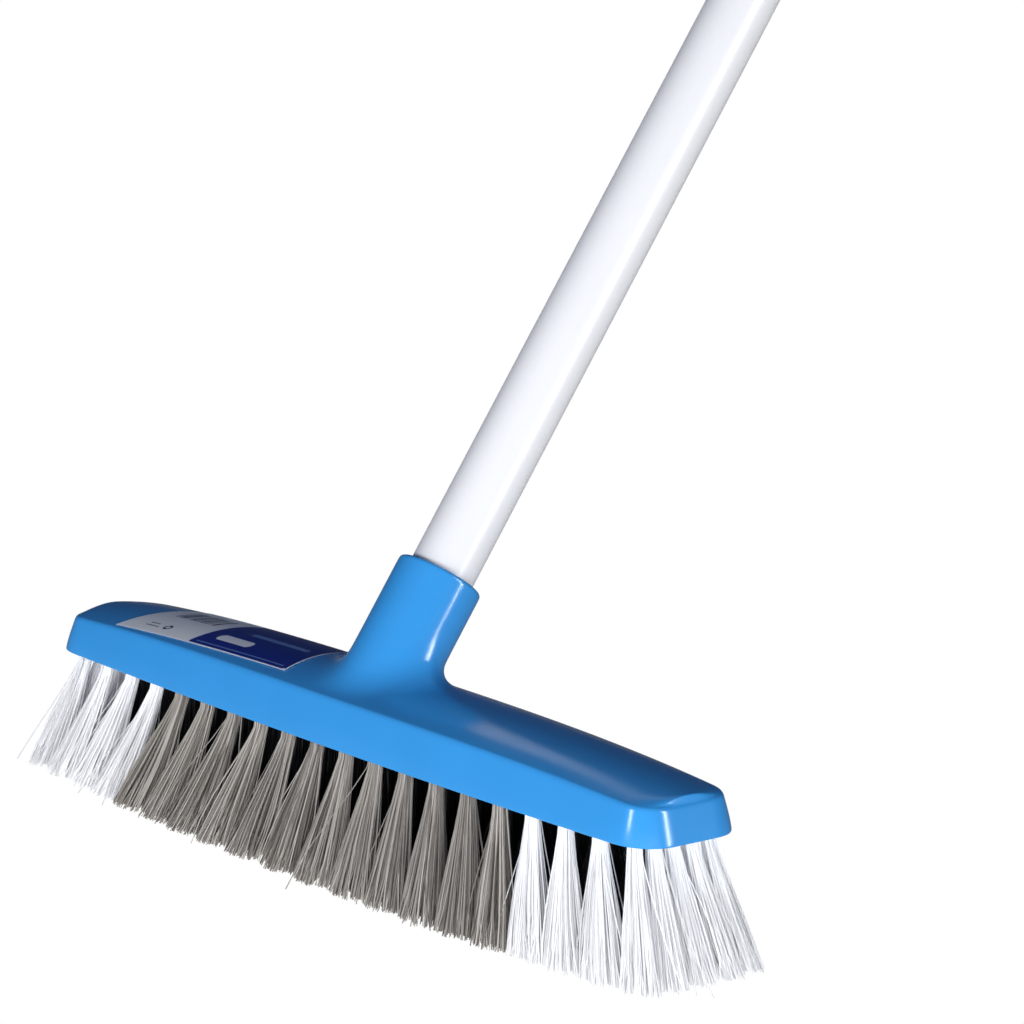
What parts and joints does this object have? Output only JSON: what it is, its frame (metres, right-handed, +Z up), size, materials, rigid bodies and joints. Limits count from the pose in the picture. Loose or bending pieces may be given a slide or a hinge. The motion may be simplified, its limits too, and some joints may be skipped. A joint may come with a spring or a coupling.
{
  "type": "floor broom",
  "caption": "Household floor broom: long moulded head with upright tufts, an angled threaded socket, and a round metal handle with a domed end cap.",
  "frame": {"origin": "on the plane of the bristle tips, under the middle of the head", "axes": "+X along the head to the right seen from the front, -Y out of the head's front, +Z up; the handle leans back towards +Y in the plane X = 0"},
  "size_m": [0.3114, 0.7368, 1.0876],
  "materials": {
    "head_plastic": "glossy injection-moulded polypropylene, clear mid blue",
    "label_film": "printed self-adhesive film, pale grey panel beside a navy panel",
    "handle_enamel": "smooth white powder coat on thin steel tube",
    "ferrule_plastic": "white moulded polypropylene thread",
    "cap_plastic": "glossy moulded polypropylene, same blue as the head",
    "filament_white": "white polypropylene filament, satin",
    "filament_grey": "warm grey polypropylene filament, satin",
    "filament_black": "black polypropylene filament, satin"
  },
  "bodies": {
    "head": {"head_block": "head_plastic", "label": "label_film", "tuft_front_01": "filament_white", "tuft_front_02": "filament_white", "tuft_front_03": "filament_white", "tuft_front_04": "filament_white", "tuft_front_05": "filament_grey", "tuft_front_06": "filament_grey", "tuft_front_07": "filament_grey", "tuft_front_08": "filament_grey", "tuft_front_09": "filament_grey", "tuft_front_10": "filament_grey", "tuft_front_11": "filament_grey", "tuft_front_12": "filament_grey", "tuft_front_13": "filament_grey", "tuft_front_14": "filament_grey", "tuft_front_15": "filament_grey", "tuft_front_16": "filament_grey", "tuft_front_17": "filament_white", "tuft_front_18": "filament_white", "tuft_front_19": "filament_white", "tuft_front_20": "filament_white", "tuft_back_01": "filament_white", "tuft_back_02": "filament_white", "tuft_back_03": "filament_white", "tuft_back_04": "filament_white", "tuft_back_05": "filament_grey", "tuft_back_06": "filament_grey", "tuft_back_07": "filament_grey", "tuft_back_08": "filament_grey", "tuft_back_09": "filament_grey", "tuft_back_10": "filament_grey", "tuft_back_11": "filament_grey", "tuft_back_12": "filament_grey", "tuft_back_13": "filament_grey", "tuft_back_14": "filament_grey", "tuft_back_15": "filament_grey", "tuft_back_16": "filament_grey", "tuft_back_17": "filament_white", "tuft_back_18": "filament_white", "tuft_back_19": "filament_white", "tuft_back_20": "filament_white", "tuft_left_1": "filament_white", "tuft_left_2": "filament_white", "tuft_left_3": "filament_white", "tuft_right_1": "filament_white", "tuft_right_2": "filament_white", "tuft_right_3": "filament_white", "inner_row_front": "filament_black", "inner_row_middle": "filament_black", "inner_row_back": "filament_black"},
    "ferrule": {"threaded_ferrule": "ferrule_plastic"},
    "handle": {"handle_tube": "handle_enamel", "end_cap": "cap_plastic"}
  },
  "joints": [
    {"name": "handle_travel", "type": "slide", "parent": "head", "child": "ferrule", "axis": [0, 0.5606, 0.8281], "range_m": [0, 0.021]},
    {"name": "handle_turn", "type": "hinge", "parent": "ferrule", "child": "handle", "pos_m": [0, -0.009, 0.042], "axis": [0, 0.5606, 0.8281], "range_deg": [0, 1805]}
  ],
  "couplings": [
    {"joint": "handle_turn", "follows": "handle_travel", "rad_per_m": 1496}
  ]
}
